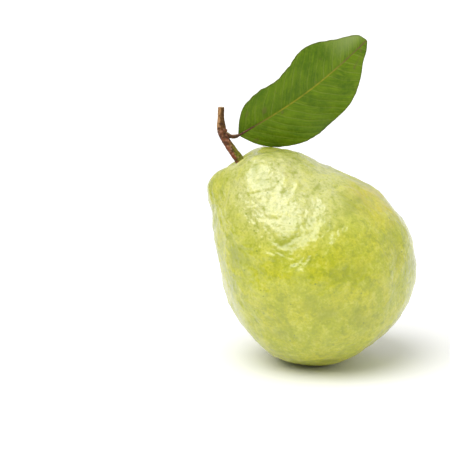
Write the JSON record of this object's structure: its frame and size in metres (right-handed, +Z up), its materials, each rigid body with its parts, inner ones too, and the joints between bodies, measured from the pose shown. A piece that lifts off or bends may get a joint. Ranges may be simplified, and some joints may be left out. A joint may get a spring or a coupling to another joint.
{
  "type": "guava",
  "caption": "Lumpy pear-shaped green guava lying on its cheek, with a bent woody twig, one leaf and a dried calyx crown.",
  "frame": {"origin": "centre of the flat spot the fruit rests on", "axes": "+Z up from the floor; the stem end leans towards -X and the leaf rises towards +X; the leaf's upper side faces -Y"},
  "size_m": [0.0879, 0.0809, 0.1364],
  "materials": {
    "fruit_skin": "waxy, pale yellow-green, lumpy, satin",
    "twig_bark": "rough brown bark",
    "leaf_green": "leathery, semi-matt, dark green",
    "calyx_brown": "dry, matt, brown"
  },
  "bodies": {
    "root": {"fruit": "fruit_skin", "stem": "twig_bark", "leaf": "leaf_green", "calyx": "calyx_brown"}
  },
  "joints": []
}
